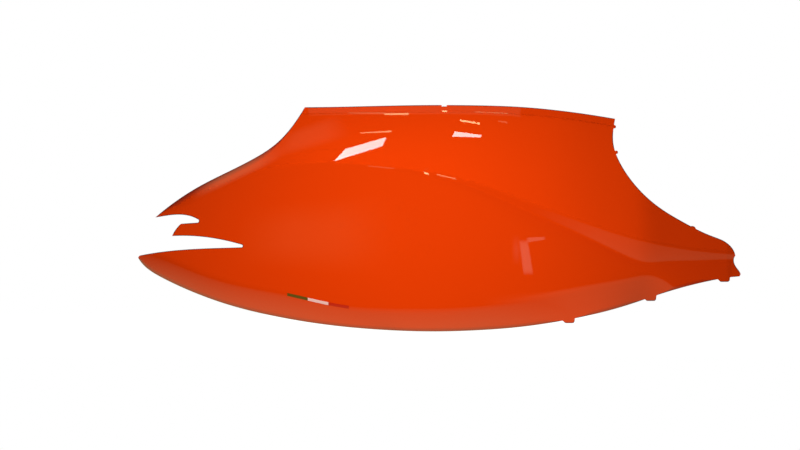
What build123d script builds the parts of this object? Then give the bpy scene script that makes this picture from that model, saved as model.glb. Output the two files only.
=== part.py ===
from build123d import *
import os

import numpy as np

# Right-hand rear side panel of a motor scooter: one moulded skin with a painted face.
# X runs forward along the scooter, Y to its left and Z up, so the painted face looks along -Y.
# The origin lies midway between the two seat rail holes, on top of their ears. Sizes are in mm,
# angles in degrees.

# Skin
WALL = 2.6
REACH = 92.0  # from the line of the seat rail holes out to the widest point of the skin
SKIN_MARGIN = 14.0  # how far the untrimmed skin runs past its outline
BLOCK_DEPTH = 240.0  # how far the blocks that are cut to the skin run inwards

# Plan of the skin: widest at one place, and curving inwards to both ends
WIDEST_PLACE = 10.0
END_DROP = 75.0
END_DISTANCE = 390.0

# Lean of the skin from upright, in each of its zones: positive where it faces upwards.
# The cove flattens towards the front, and the facet under it folds back further.
TAIL_COVE_TOP_LEAN = 6.0
FRONT_COVE_TOP_LEAN = 17.0
TAIL_COVE_FOOT_LEAN = 50.0
FRONT_COVE_FOOT_LEAN = 37.0
TAIL_FACET_LEAN = 0.0
FRONT_FACET_LEAN = -30.0
COVE_CHANGE_PLACE = 0.0
COVE_CHANGE_RUN = 320.0
BELLY_TOP_LEAN = 12.0
BELLY_FOOT_LEAN = -13.0
UNDER_TOP_LEAN = -35.0
UNDER_FOOT_LEAN = -42.0
UNDER_HEIGHT = 27.0

# Rounding across the character lines, wide at the tail and tight further forward
TAIL_ROUNDING = 20.0
FRONT_ROUNDING = 5.5
ROUNDING_PLACE = -190.0
ROUNDING_RUN = 240.0
LOWER_ROUNDING = 12.0

# Joggled lip along the top edge, which the seat's trim covers
LIP_HEIGHT = 9.5
LIP_STEP = 1.4
LIP_RUN = 3.0
LIP_LEAN = -5.0

# Joggled flange at the front end, which the leg shield's cover overlaps
NOSE_PLACE = 376.0
NOSE_STEP = 1.2
NOSE_RUN = 9.0

# Seat rail ears
EAR_PITCH = 160.0
EAR_WIDTH = 26.0
EAR_THICKNESS = 3.0
EAR_REACH = 13.0  # from the line of the holes to the ears' inner ends
EAR_HOLE_DIAMETER = 6.6
EAR_CORNER = 6.0
GUSSET_THICKNESS = 2.2
GUSSET_HEIGHT = 16.0

# Locating tabs on the bottom edge
TAB_PLACES = [168.2, 274.0, 369.8]
TAB_WIDTH = 12.0
TAB_DROP = 5.0
TAB_ROOT = 6.0
TAB_RAMP = 11.0
TAB_DRAFT = 1.0
TAB_CORNER = 3.2

# Locating notch in the top edge, and two nibs and a low bump on the front edge
NOTCH_PLACE = 5.2
NOTCH_WIDTH = 6.5
NOTCH_DEPTH = 1.8
NIB_RADIUS = 2.2
NIB_CENTRES = [(226.4, -15.6), (228.8, -48.9)]
BUMP_RADIUS = 5.0
BUMP_CENTRE = (327.2, -149.6)

# Three-colour foil strip on the lower character line
STRIP_START = -198.0
STRIP_FIELD = 26.6
STRIP_WIDTH = 3.8
STRIP_THICKNESS = 0.25
STRIP_GLUE = 0.15
STRIP_RISE = 0.1  # how far its middle lies above the character line

# Character lines of the skin: places along X and heights along Z
SEAT_LINE = [(-410, 5), (-175, 10), (-72, 11.5), (0, 12.2), (60, 11.4), (110, 9.2), (165, 3.8), (227, -6),
             (300, -22), (410, -54)]
UPPER_LINE = [(-410, -147), (-364, -135), (-324, -115.5), (-270, -91), (-217, -72.5), (-164, -64),
              (-110, -64.7), (-52, -70), (13, -81), (66, -96), (120, -115.7), (173, -134.3), (226, -152.5),
              (278, -166), (331, -174.8), (410, -181.5)]
LOWER_LINE = [(-410, -164), (-360, -183), (-317, -202), (-268, -218.4), (-198, -233.3), (-120, -249.5),
              (-52, -253.3), (13, -252.6), (78, -246), (156, -231.5), (195, -223.4), (248, -212.8), (272, -210),
              (290, -217), (312, -234), (340, -254), (410, -302)]

# Height of the facet under the upper line, at places along X
FACET_HEIGHT = [(-410, 1), (-100, 1), (-52, 2), (13, 4), (66, 8), (120, 12.5), (173, 17.8), (221, 23.8),
                (248, 28.4), (262, 29.5), (288, 24), (331, 16), (374, 10.3), (410, 8)]

# Outline of the trimmed skin, seen from the painted side: places along X and heights along Z
TOP_EDGE = [(-175.5, 9.5), (-130, 10), (-71.5, 11.3), (-13, 12.2), (45.5, 11.9), (104, 9.9), (162.5, 4.4),
            (227.5, -5.3)]
FRONT_EDGE = [(227.5, -5.3), (225.4, -18), (224.8, -35.4), (227.2, -47.5), (233.2, -61.8), (252, -90.2),
              (282.6, -119.2), (320.6, -142.3), (338, -151.3), (354.9, -158.4), (368.4, -164), (376.8, -170.4),
              (383.4, -183)]
NOSE_EDGE = [(383.4, -183), (381.4, -190), (383.8, -196.8), (387.9, -202.4), (390.4, -207.2)]
NOSE_CORNER = (388.8, -210)
BOTTOM_EDGE = [(374.8, -211.2), (338, -218.3), (296.4, -229.4), (239.2, -248.4), (174.2, -264.4), (104, -275.4),
               (45.5, -279.8), (-13, -281.2), (-71.5, -279.3), (-149.5, -272.3), (-210.6, -262.4), (-273, -247.4),
               (-325, -228.8), (-362.4, -211.3), (-387, -193.8), (-392.6, -185.6)]
LOWER_CLAW_TIP = (-390.4, -183)
LOWER_SLOT_SILL = [(-390.4, -183), (-361.4, -178.2), (-325, -174.8), (-283.4, -173), (-257.7, -172.3)]
LOWER_SLOT_END = (-255.7, -170.4)
LOWER_SLOT_HEAD = [(-257.7, -168.6), (-283.4, -162.3), (-319.8, -157.6), (-347.8, -157.6)]
MIDDLE_CLAW_END = (-342.6, -148.6)
UPPER_SLOT_SILL = [(-336.2, -141.7), (-326, -141), (-315, -140.3)]
UPPER_SLOT_END = (-312.7, -138.2)
UPPER_SLOT_HEAD = [(-314.8, -135.6), (-328, -130.8), (-340.6, -129.8), (-354, -131), (-369.6, -133.4)]
REAR_EDGE = [(-369.6, -133.4), (-345.8, -114.4), (-314.6, -94.3), (-273, -73.2), (-241.8, -57.2), (-216, -40.5),
             (-200.2, -25.4), (-189.8, -12.4), (-175.5, 9.5)]

# Grid on which the skin is worked out
COLUMN_COUNT = 32
ROW_COUNT = 44
FINE_STEP = 0.5
CROWDING = 2.5


def through(stations, place):
    """Height of the natural cubic curve through the stations, at one place along X."""
    x, height = np.array(sorted(stations), dtype=float).T
    gap = np.diff(x)
    system = np.eye(len(x))
    bend = np.zeros(len(x))
    for i in range(1, len(x) - 1):
        system[i, i - 1:i + 2] = gap[i - 1], 2 * (gap[i - 1] + gap[i]), gap[i]
        bend[i] = 6 * ((height[i + 1] - height[i]) / gap[i] - (height[i] - height[i - 1]) / gap[i - 1])
    bend = np.linalg.solve(system, bend)
    i = int(np.clip(np.searchsorted(x, place) - 1, 0, len(gap) - 1))
    after, before = place - x[i], x[i + 1] - place
    cubic = (bend[i] * before**3 + bend[i + 1] * after**3) / (6 * gap[i])
    start = height[i] / gap[i] - bend[i] * gap[i] / 6
    end = height[i + 1] / gap[i] - bend[i + 1] * gap[i] / 6
    return cubic + start * before + end * after


def ease(value, place, run):
    """Smooth change from 0 to 1 over a run centred on a place."""
    t = np.clip((value - place) / run + 0.5, 0, 1)
    return t * t * (3 - 2 * t)


def changing(tail, front, place, run, x):
    """Value at x that changes smoothly from its tail value to its front value."""
    return tail + (front - tail) * ease(x, place, run)


def line_rounding(x):
    """Run over which the skin turns at the upper line and at the facet's foot."""
    return changing(TAIL_ROUNDING, FRONT_ROUNDING, ROUNDING_PLACE, ROUNDING_RUN, x)


def heights(x):
    """Heights of the seat line, upper line, facet's foot and lower line at one place along X."""
    upper = through(UPPER_LINE, x)
    return through(SEAT_LINE, x), upper, upper - through(FACET_HEIGHT, x), through(LOWER_LINE, x)


def profile(x):
    """Fine heights up the skin, and how far out it stands at each, for one place along X."""
    seat, upper, facet, lower = heights(x)
    rounding = line_rounding(x)
    low = lower - UNDER_HEIGHT - 1.6 * SKIN_MARGIN
    z = np.arange(low, seat + SKIN_MARGIN + FINE_STEP, FINE_STEP)

    belly_share = np.clip((z - lower) / (facet - lower), 0, 1)
    belly = BELLY_FOOT_LEAN + (BELLY_TOP_LEAN - BELLY_FOOT_LEAN) * belly_share
    under = UNDER_TOP_LEAN + (UNDER_FOOT_LEAN - UNDER_TOP_LEAN) * np.clip((lower - z) / UNDER_HEIGHT, 0, 1.5)
    cove_share = np.clip((z - upper) / (seat - LIP_HEIGHT - upper), 0, 1)
    cove_top = changing(TAIL_COVE_TOP_LEAN, FRONT_COVE_TOP_LEAN, COVE_CHANGE_PLACE, COVE_CHANGE_RUN, x)
    cove_foot = changing(TAIL_COVE_FOOT_LEAN, FRONT_COVE_FOOT_LEAN, COVE_CHANGE_PLACE, COVE_CHANGE_RUN, x)
    cove = cove_foot + (cove_top - cove_foot) * cove_share
    facet_lean = changing(TAIL_FACET_LEAN, FRONT_FACET_LEAN, COVE_CHANGE_PLACE, COVE_CHANGE_RUN, x)

    above = facet_lean + (cove - facet_lean) * ease(z, upper, rounding)
    lean = belly + (above - belly) * ease(z, facet, rounding)
    lean = under + (lean - under) * ease(z, lower, LOWER_ROUNDING)
    lean = lean + (LIP_LEAN - lean) * ease(z, seat - LIP_HEIGHT, LIP_RUN)

    slope = np.tan(np.radians(lean))
    rise = np.concatenate([[0], np.cumsum((slope[1:] + slope[:-1]) / 2 * FINE_STEP)])
    widest = lower + (facet - lower) * BELLY_FOOT_LEAN / (BELLY_FOOT_LEAN - BELLY_TOP_LEAN)
    out = REACH - END_DROP * ((x - WIDEST_PLACE) / END_DISTANCE)**2
    out = out - (rise - np.interp(widest, z, rise))
    out = out - LIP_STEP * ease(z, seat - LIP_HEIGHT, LIP_RUN)
    return z, out - NOSE_STEP * ease(x, NOSE_PLACE, NOSE_RUN)


def crowded(low, high, places, runs, count):
    """Rising values from low to high, which crowd together at the places given."""
    value = np.linspace(low, high, 800)
    density = np.ones(len(value))
    for place, run in zip(places, runs):
        density = density + CROWDING * np.exp(-((value - place) / run)**2)
    total = np.concatenate([[0], np.cumsum((density[1:] + density[:-1]) / 2)])
    return np.interp(np.linspace(0, total[-1], count), total, value)


def face_y(x, z, depth):
    """Place along Y of a surface that lies the given depth inwards of the skin's outer face."""
    out = np.interp(z, *profile(x))
    along = (np.interp(z, *profile(x + FINE_STEP)) - np.interp(z, *profile(x - FINE_STEP))) / (2 * FINE_STEP)
    up = (np.interp(z + FINE_STEP, *profile(x)) - np.interp(z - FINE_STEP, *profile(x))) / (2 * FINE_STEP)
    return depth * np.sqrt(1 + along**2 + up**2) - out


def section(x, z, depth):
    """Closed wire at one place along X: the surface's line, and straight sides that run inwards."""
    points = [Vector(x, y, height) for y, height in zip(face_y(x, z, depth), z)]
    top = Vector(x, BLOCK_DEPTH, z[-1])
    foot = Vector(x, BLOCK_DEPTH, z[0])
    edges = [
        Edge.make_spline(points, parameters=list(np.linspace(0, 1, len(z)))),
        Edge.make_line(points[-1], top),
        Edge.make_line(top, foot),
        Edge.make_line(foot, points[0]),
    ]
    return Wire(edges)


def block(columns, rows_at, depth):
    """Solid that fills everything inwards of the surface at the given depth."""
    return Solid.make_loft([section(x, rows_at(x), depth) for x in columns])


def skin_block(depth):
    """Block behind the whole skin, at the given depth in it."""
    low, high = LOWER_SLOT_SILL[0][0] - SKIN_MARGIN, NOSE_EDGE[-1][0] + SKIN_MARGIN
    columns = crowded(low, high, [NOSE_PLACE], [NOSE_RUN], COLUMN_COUNT)

    def rows_at(x):
        seat, upper, facet, lower = heights(x)
        rounding = line_rounding(x)
        foot = lower - UNDER_HEIGHT - 1.5 * SKIN_MARGIN
        places = [seat - LIP_HEIGHT, upper, facet, lower]
        runs = [LIP_RUN, 0.5 * rounding, 0.5 * rounding, 0.5 * LOWER_ROUNDING]
        return crowded(foot, seat + SKIN_MARGIN, places, runs, ROW_COUNT)

    return block(columns, rows_at, depth)


def tab(place):
    """Flat shape of one locating tab: a steep front side, a ramp behind, and rounded corners."""
    edge = through(BOTTOM_EDGE[:-1], place)
    tip = edge - TAB_DROP
    half = TAB_WIDTH / 2
    shape = Polyline(
        (place - half - TAB_RAMP, edge + TAB_ROOT),
        (place - half, tip),
        (place + half, tip),
        (place + half + TAB_DRAFT, edge + TAB_ROOT),
        close=True,
    )
    shape = make_face(shape)
    return fillet(shape.vertices().sort_by(Axis.Y)[:2], TAB_CORNER)


def outline():
    """Flat outline of the trimmed skin, with its tabs, nibs and notch."""
    edges = [
        Spline(TOP_EDGE),
        Spline(FRONT_EDGE),
        Spline(NOSE_EDGE),
        Line(NOSE_EDGE[-1], NOSE_CORNER),
        Line(NOSE_CORNER, BOTTOM_EDGE[0]),
        Spline(BOTTOM_EDGE),
        Line(BOTTOM_EDGE[-1], LOWER_CLAW_TIP),
        Spline(LOWER_SLOT_SILL),
        ThreePointArc(LOWER_SLOT_SILL[-1], LOWER_SLOT_END, LOWER_SLOT_HEAD[0]),
        Spline(LOWER_SLOT_HEAD),
        ThreePointArc(LOWER_SLOT_HEAD[-1], MIDDLE_CLAW_END, UPPER_SLOT_SILL[0]),
        Spline(UPPER_SLOT_SILL),
        ThreePointArc(UPPER_SLOT_SILL[-1], UPPER_SLOT_END, UPPER_SLOT_HEAD[0]),
        Spline(UPPER_SLOT_HEAD),
        Spline(REAR_EDGE),
    ]
    shape = make_face(edges)
    for place in TAB_PLACES:
        shape = shape + tab(place)
    for centre in NIB_CENTRES:
        shape = shape + Pos(*centre) * Circle(NIB_RADIUS)
    shape = shape + Pos(*BUMP_CENTRE) * Circle(BUMP_RADIUS)
    notch_top = through(TOP_EDGE, NOTCH_PLACE)
    return shape - Pos(NOTCH_PLACE, notch_top) * Rectangle(NOTCH_WIDTH, 2 * NOTCH_DEPTH)


def prism(shape):
    """Solid that the flat shape makes when it runs along Y, through the whole panel."""
    return extrude(Plane.XZ * shape, amount=BLOCK_DEPTH, both=True)


def ear(place):
    """Seat rail ear with its screw hole and its two gussets, before it is cut to the skin."""
    skin_y = -float(np.interp(0, *profile(place)))
    length = EAR_REACH - skin_y
    middle = (EAR_REACH + skin_y) / 2
    plate = Pos(place, middle, -EAR_THICKNESS / 2) * Box(EAR_WIDTH, length, EAR_THICKNESS)
    corners = plate.edges().filter_by(Axis.Z).sort_by(Axis.Y)[-2:]
    plate = fillet(corners, EAR_CORNER)
    hole = Pos(place, 0, -EAR_THICKNESS / 2) * Cylinder(EAR_HOLE_DIAMETER / 2, 2 * EAR_THICKNESS)
    plate = plate - hole

    gusset_foot = (skin_y, -EAR_THICKNESS - GUSSET_HEIGHT)
    gusset_tip = (-EAR_HOLE_DIAMETER, -EAR_THICKNESS)
    side = make_face(Polyline((skin_y, -EAR_THICKNESS / 2), gusset_foot, gusset_tip,
                              (-EAR_HOLE_DIAMETER, -EAR_THICKNESS / 2), close=True))
    for edge in (-1, 1):
        x = place + edge * (EAR_WIDTH - GUSSET_THICKNESS) / 2
        rib = extrude(Plane.YZ.offset(x) * side, amount=GUSSET_THICKNESS / 2, both=True)
        plate = plate + rib
    return plate


def side_panel():
    """The whole moulding: the skin with its trimmed outline, and the ears behind it."""
    outer = skin_block(0)
    inner = skin_block(WALL)
    panel = (prism(outline()) & outer) - inner
    for side in (-1, 1):
        panel = panel + (ear(side * EAR_PITCH / 2) & outer)
    return panel


def strip_field(index):
    """One colour field of the foil strip, lying on the skin along the lower line."""
    start = STRIP_START + index * STRIP_FIELD
    end = start + STRIP_FIELD

    def middle(x):
        return through(LOWER_LINE, x) + STRIP_RISE

    places = np.linspace(start, end, 4)
    above = [(x, middle(x) + STRIP_WIDTH / 2) for x in places]
    below = [(x, middle(x) - STRIP_WIDTH / 2) for x in places]
    shape = make_face([Spline(above), Line(above[-1], below[-1]), Spline(below), Line(below[0], above[0])])

    def rows_at(x):
        return np.linspace(middle(x) - 1.5 * STRIP_WIDTH, middle(x) + 1.5 * STRIP_WIDTH, 9)

    columns = np.linspace(start - STRIP_WIDTH, end + STRIP_WIDTH, 6)
    face_side = block(columns, rows_at, -STRIP_GLUE - STRIP_THICKNESS)
    glue_side = block(columns, rows_at, -STRIP_GLUE)
    return (prism(shape) & face_side) - glue_side


os.makedirs("parts", exist_ok=True)
nodes = {
    "side_panel": side_panel(),
    "strip_green": strip_field(0),
    "strip_white": strip_field(1),
    "strip_red": strip_field(2),
}
for name, node in nodes.items():
    export_step(node, f"parts/{name}.step")
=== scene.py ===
"""Dressed model of a motor scooter's right-hand rear side panel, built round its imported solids.

X runs forward along the scooter, Y to its left and Z up, so the painted face looks along -Y. The
panel's own sizes are in millimetres, as on its drawing, and MM turns them into the scene's metres.
"""

import logging
import math
from dataclasses import dataclass
from enum import Enum
from typing import Any

import bpy
import numpy as np
from mathutils import Matrix, Vector
from mathutils.geometry import delaunay_2d_cdt


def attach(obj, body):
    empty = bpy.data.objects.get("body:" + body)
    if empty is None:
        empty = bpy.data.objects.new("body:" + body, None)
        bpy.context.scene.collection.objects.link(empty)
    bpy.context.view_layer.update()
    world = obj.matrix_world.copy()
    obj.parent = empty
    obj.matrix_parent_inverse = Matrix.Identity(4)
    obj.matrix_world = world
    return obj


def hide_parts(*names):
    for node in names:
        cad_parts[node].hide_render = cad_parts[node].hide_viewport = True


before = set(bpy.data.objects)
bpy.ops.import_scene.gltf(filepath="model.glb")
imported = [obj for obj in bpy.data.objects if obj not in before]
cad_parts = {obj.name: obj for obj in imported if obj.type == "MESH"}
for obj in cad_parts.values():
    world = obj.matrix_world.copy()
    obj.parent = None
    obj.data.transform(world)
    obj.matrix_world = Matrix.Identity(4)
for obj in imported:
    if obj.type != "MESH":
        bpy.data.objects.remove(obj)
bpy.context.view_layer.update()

Array = np.ndarray
Stations = list[tuple[float, float]]
Colour = tuple[float, float, float]

MM = 0.001
LOG = logging.getLogger("side_panel")

# Character lines of the skin: places along X and heights along Z
SEAT_LINE: Stations = [(-410, 5), (-175, 10), (-72, 11.5), (0, 12.2), (60, 11.4), (110, 9.2), (165, 3.8),
                       (227, -6), (300, -22), (410, -54)]
UPPER_LINE: Stations = [(-410, -147), (-364, -135), (-324, -115.5), (-270, -91), (-217, -72.5), (-164, -64),
                        (-110, -64.7), (-52, -70), (13, -81), (66, -96), (120, -115.7), (173, -134.3),
                        (226, -152.5), (278, -166), (331, -174.8), (410, -181.5)]
LOWER_LINE: Stations = [(-410, -164), (-360, -183), (-317, -202), (-268, -218.4), (-198, -233.3),
                        (-120, -249.5), (-52, -253.3), (13, -252.6), (78, -246), (156, -231.5),
                        (195, -223.4), (248, -212.8), (272, -210), (290, -217), (312, -234),
                        (340, -254), (410, -302)]

# Height of the facet under the upper line, at places along X
FACET_HEIGHT: Stations = [(-410, 1), (-100, 1), (-52, 2), (13, 4), (66, 8), (120, 12.5), (173, 17.8),
                          (221, 23.8), (248, 28.4), (262, 29.5), (288, 24), (331, 16), (374, 10.3), (410, 8)]

# Outline of the trimmed skin, seen from the painted side: places along X and heights along Z
TOP_EDGE: Stations = [(-175.5, 9.5), (-130, 10), (-71.5, 11.3), (-13, 12.2), (45.5, 11.9), (104, 9.9),
                      (162.5, 4.4), (227.5, -5.3)]
FRONT_EDGE: Stations = [(227.5, -5.3), (225.4, -18), (224.8, -35.4), (227.2, -47.5), (233.2, -61.8),
                        (252, -90.2), (282.6, -119.2), (320.6, -142.3), (338, -151.3), (354.9, -158.4),
                        (368.4, -164), (376.8, -170.4), (383.4, -183)]
NOSE_EDGE: Stations = [(383.4, -183), (381.4, -190), (383.8, -196.8), (387.9, -202.4), (390.4, -207.2)]
NOSE_CORNER = (388.8, -210)
BOTTOM_EDGE: Stations = [(374.8, -211.2), (338, -218.3), (296.4, -229.4), (239.2, -248.4), (174.2, -264.4),
                         (104, -275.4), (45.5, -279.8), (-13, -281.2), (-71.5, -279.3), (-149.5, -272.3),
                         (-210.6, -262.4), (-273, -247.4), (-325, -228.8), (-362.4, -211.3), (-387, -193.8),
                         (-392.6, -185.6)]
LOWER_SLOT_SILL: Stations = [(-390.4, -183), (-361.4, -178.2), (-325, -174.8), (-283.4, -173),
                             (-257.7, -172.3)]
LOWER_SLOT_END = (-255.7, -170.4)
LOWER_SLOT_HEAD: Stations = [(-257.7, -168.6), (-283.4, -162.3), (-319.8, -157.6), (-347.8, -157.6)]
MIDDLE_CLAW_END = (-342.6, -148.6)
UPPER_SLOT_SILL: Stations = [(-336.2, -141.7), (-326, -141), (-315, -140.3)]
UPPER_SLOT_END = (-312.7, -138.2)
UPPER_SLOT_HEAD: Stations = [(-314.8, -135.6), (-328, -130.8), (-340.6, -129.8), (-354, -131),
                             (-369.6, -133.4)]
REAR_EDGE: Stations = [(-369.6, -133.4), (-345.8, -114.4), (-314.6, -94.3), (-273, -73.2), (-241.8, -57.2),
                       (-216, -40.5), (-200.2, -25.4), (-189.8, -12.4), (-175.5, 9.5)]

# Counts and limits of the shapes' and the node sheets' making
END_STATIONS = 4  # stations that set the slope at a curve's end
CURVE_POINTS = 3  # fewest points on a curve
ARC_POINTS = 5  # fewest points on an arc
TIP_POINTS = 6  # points from the nose edge to the nose corner
TOE_POINTS = 13  # points from the nose corner to the bottom edge
SAME_PLACE = 0.05  # points of the outline that are closer than this count as one
BATCH = 2000  # points that are held against a loop at one time
WITHIN_BORDER = 1  # kind of triangulation that keeps to the inside of its border
TINY = 1e-12  # least length that is divided by
COLOUR_SOCKETS = (6, 7)  # places of the two colours among a mix node's sockets


def unit(vectors: Array) -> Array:
    """Vectors at unit length, one in each row."""
    return vectors / np.linalg.norm(vectors, axis=1, keepdims=True)


def ease(value: Array, place: Array | float, run: Array | float) -> Array:
    """Smooth change from 0 to 1 over a run centred on a place: 3t^2 - 2t^3 of the share t of the run."""
    t = np.clip((value - place) / run + 0.5, 0, 1)
    return t * t * (3 - 2 * t)


def cubic(knots: Array, values: Array, places: Array, end_slopes: Array | None = None) -> Array:
    """Cubic spline through values at knots.

    Each gap holds one cubic, written with the second derivatives at its two knots. They solve the
    equations that make the slope run on at each inner knot, with no bend at the ends or given slopes.

    Args:
        knots: Rising parameters, n of them.
        values: Values at the knots, n rows.
        places: Parameters at which the spline is wanted.
        end_slopes: Slopes at the two ends, or None where the ends don't bend.

    Returns:
        The spline's values at the places.
    """
    gap = np.diff(knots)
    rise = np.diff(values, axis=0) / gap[:, None]
    system = np.eye(len(knots))
    inner = np.arange(1, len(knots) - 1)
    system[inner, inner - 1] = gap[:-1]
    system[inner, inner] = 2 * (gap[:-1] + gap[1:])
    system[inner, inner + 1] = gap[1:]
    bend = np.zeros_like(values)
    bend[inner] = 6 * np.diff(rise, axis=0)
    if end_slopes is not None:
        system[0, :2] = 2 * gap[0], gap[0]
        system[-1, -2:] = gap[-1], 2 * gap[-1]
        bend[0] = 6 * (rise[0] - end_slopes[0])
        bend[-1] = 6 * (end_slopes[1] - rise[-1])
    bend = np.linalg.solve(system, bend)

    i = np.clip(np.searchsorted(knots, places) - 1, 0, len(gap) - 1)
    after, before, width = ((places - knots[i])[:, None], (knots[i + 1] - places)[:, None], gap[i][:, None])
    start = values[i] / width - bend[i] * width / 6
    end = values[i + 1] / width - bend[i + 1] * width / 6
    return (bend[i] * before**3 + bend[i + 1] * after**3) / (6 * width) + start * before + end * after


def height_along(stations: Stations, x: Array) -> Array:
    """Heights of the natural cubic curve through the stations, at places along X."""
    knots, heights = np.array(sorted(stations), dtype=float).T
    return cubic(knots, heights[:, None], np.ravel(x))[:, 0].reshape(np.shape(x))


def curve_points(stations: Stations, step: float) -> Array:
    """Points along the parametric cubic curve through the stations, by length of chord.

    Args:
        stations: Points (x, z) on the curve.
        step: Distance between the points that come back.

    Returns:
        Points (x, z), both ends among them. The end slopes are those of the polynomial through the
        first and the last four stations.
    """
    points = np.array(stations, dtype=float)
    chord = np.concatenate([[0], np.cumsum(np.linalg.norm(np.diff(points, axis=0), axis=1))])
    near = min(END_STATIONS, len(points))
    first = np.polyfit(chord[:near], points[:near], near - 1)[-2]
    last = np.polyfit(chord[-near:] - chord[-1], points[-near:], near - 1)[-2]
    places = np.linspace(0, chord[-1], max(CURVE_POINTS, round(chord[-1] / step) + 1))
    return cubic(chord, points, places, np.array([first, last]))


def arc_points(start: tuple[float, float], middle: tuple[float, float], end: tuple[float, float],
               step: float) -> Array:
    """Points along the circle's arc through three points, both ends among them."""
    a, b, c = (complex(*point) for point in (start, middle, end))
    across, up = b - a, c - a
    centre = a + (abs(up)**2 * across - abs(across)**2 * up) * 1j / (2 * (across.conjugate() * up).imag)
    angles = np.unwrap(np.angle([a - centre, b - centre, c - centre]))
    radius = abs(a - centre)
    count = max(ARC_POINTS, round(radius * abs(angles[2] - angles[0]) / step) + 1)
    turned = np.linspace(angles[0], angles[2], count)
    return np.stack([centre.real + radius * np.cos(turned), centre.imag + radius * np.sin(turned)], axis=1)


def rounded(corners: Array, radii: list[float], step: float) -> Array:
    """Closed polygon whose corners are turned by arcs.

    Args:
        corners: The polygon's corners in order.
        radii: Radius at each corner, 0 where it stays sharp.
        step: Distance between points along its sides.

    Returns:
        Points round the polygon.
    """
    ends = []
    for i, radius in enumerate(radii):
        corner, before, after = corners[i], corners[i - 1], corners[(i + 1) % len(corners)]
        back = (before - corner) / np.linalg.norm(before - corner)
        on = (after - corner) / np.linalg.norm(after - corner)
        half = math.acos(np.clip(back @ on, -1, 1)) / 2
        if radius == 0:
            ends.append(corner[None])
            continue
        reach = radius / math.tan(half)
        bisector = (back + on) / np.linalg.norm(back + on)
        middle = corner + bisector * (radius / math.sin(half) - radius)
        ends.append(arc_points(tuple(corner + back * reach), tuple(middle), tuple(corner + on * reach), step))
    path = []
    for i, end in enumerate(ends):
        path.append(end)
        start, stop = end[-1], ends[(i + 1) % len(ends)][0]
        count = max(1, round(float(np.linalg.norm(stop - start)) / step))
        path.append(start + np.linspace(0, 1, count + 1)[1:-1, None] * (stop - start))
    return np.concatenate(path)


def inside(points: Array, loop: Array) -> Array:
    """Whether each point lies inside the closed loop: an odd number of its sides lies to the right."""
    starts, ends = loop, np.roll(loop, -1, axis=0)
    rise = ends[:, 1] - starts[:, 1]
    run = (ends[:, 0] - starts[:, 0]) / np.where(rise == 0, 1, rise)
    found = []
    for part in np.array_split(points, max(1, len(points) // BATCH)):
        height = part[:, 1, None]
        crosses = (starts[:, 1] > height) != (ends[:, 1] > height)
        at = starts[:, 0] + (height - starts[:, 1]) * run
        found.append((crosses & (part[:, 0, None] < at)).sum(axis=1) % 2 == 1)
    return np.concatenate(found)


def clearance(points: Array, loop: Array) -> Array:
    """Distance from each point to the nearest point of the loop."""
    parts = np.array_split(points, max(1, len(points) // BATCH))
    squares = [((part[:, None] - loop[None])**2).sum(axis=2).min(axis=1) for part in parts]
    return np.sqrt(np.concatenate(squares))


def spliced(loop: Array, patch: Array, adds: bool) -> Array:
    """Loop with a small shape added to it, or cut out of it, where the shape's outline crosses it twice.

    Args:
        loop: Closed clockwise outline.
        patch: Closed clockwise outline of the small shape.
        adds: True where the shape is added, False where it is cut out.

    Returns:
        The new closed outline, clockwise.
    """
    gone = inside(loop, patch)
    loop = np.roll(loop, -int(np.flatnonzero(gone & ~np.roll(gone, -1))[0]) - 1, axis=0)
    loop = loop[~inside(loop, patch)]
    part = inside(patch, loop) != adds
    part = part if adds else part[::-1]
    patch = patch if adds else patch[::-1]
    shift = -int(np.flatnonzero(part & ~np.roll(part, 1))[0])
    return np.concatenate([loop, np.roll(patch, shift, axis=0)[np.roll(part, shift)]])


@dataclass(frozen=True)
class Change:
    """Value that changes smoothly along X, from the tail's to the front's."""

    tail: float
    front: float
    place: float = 0.0
    run: float = 320.0

    def at(self, x: Array) -> Array:
        """Value at places along X."""
        return self.tail + (self.front - self.tail) * ease(x, self.place, self.run)


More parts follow.
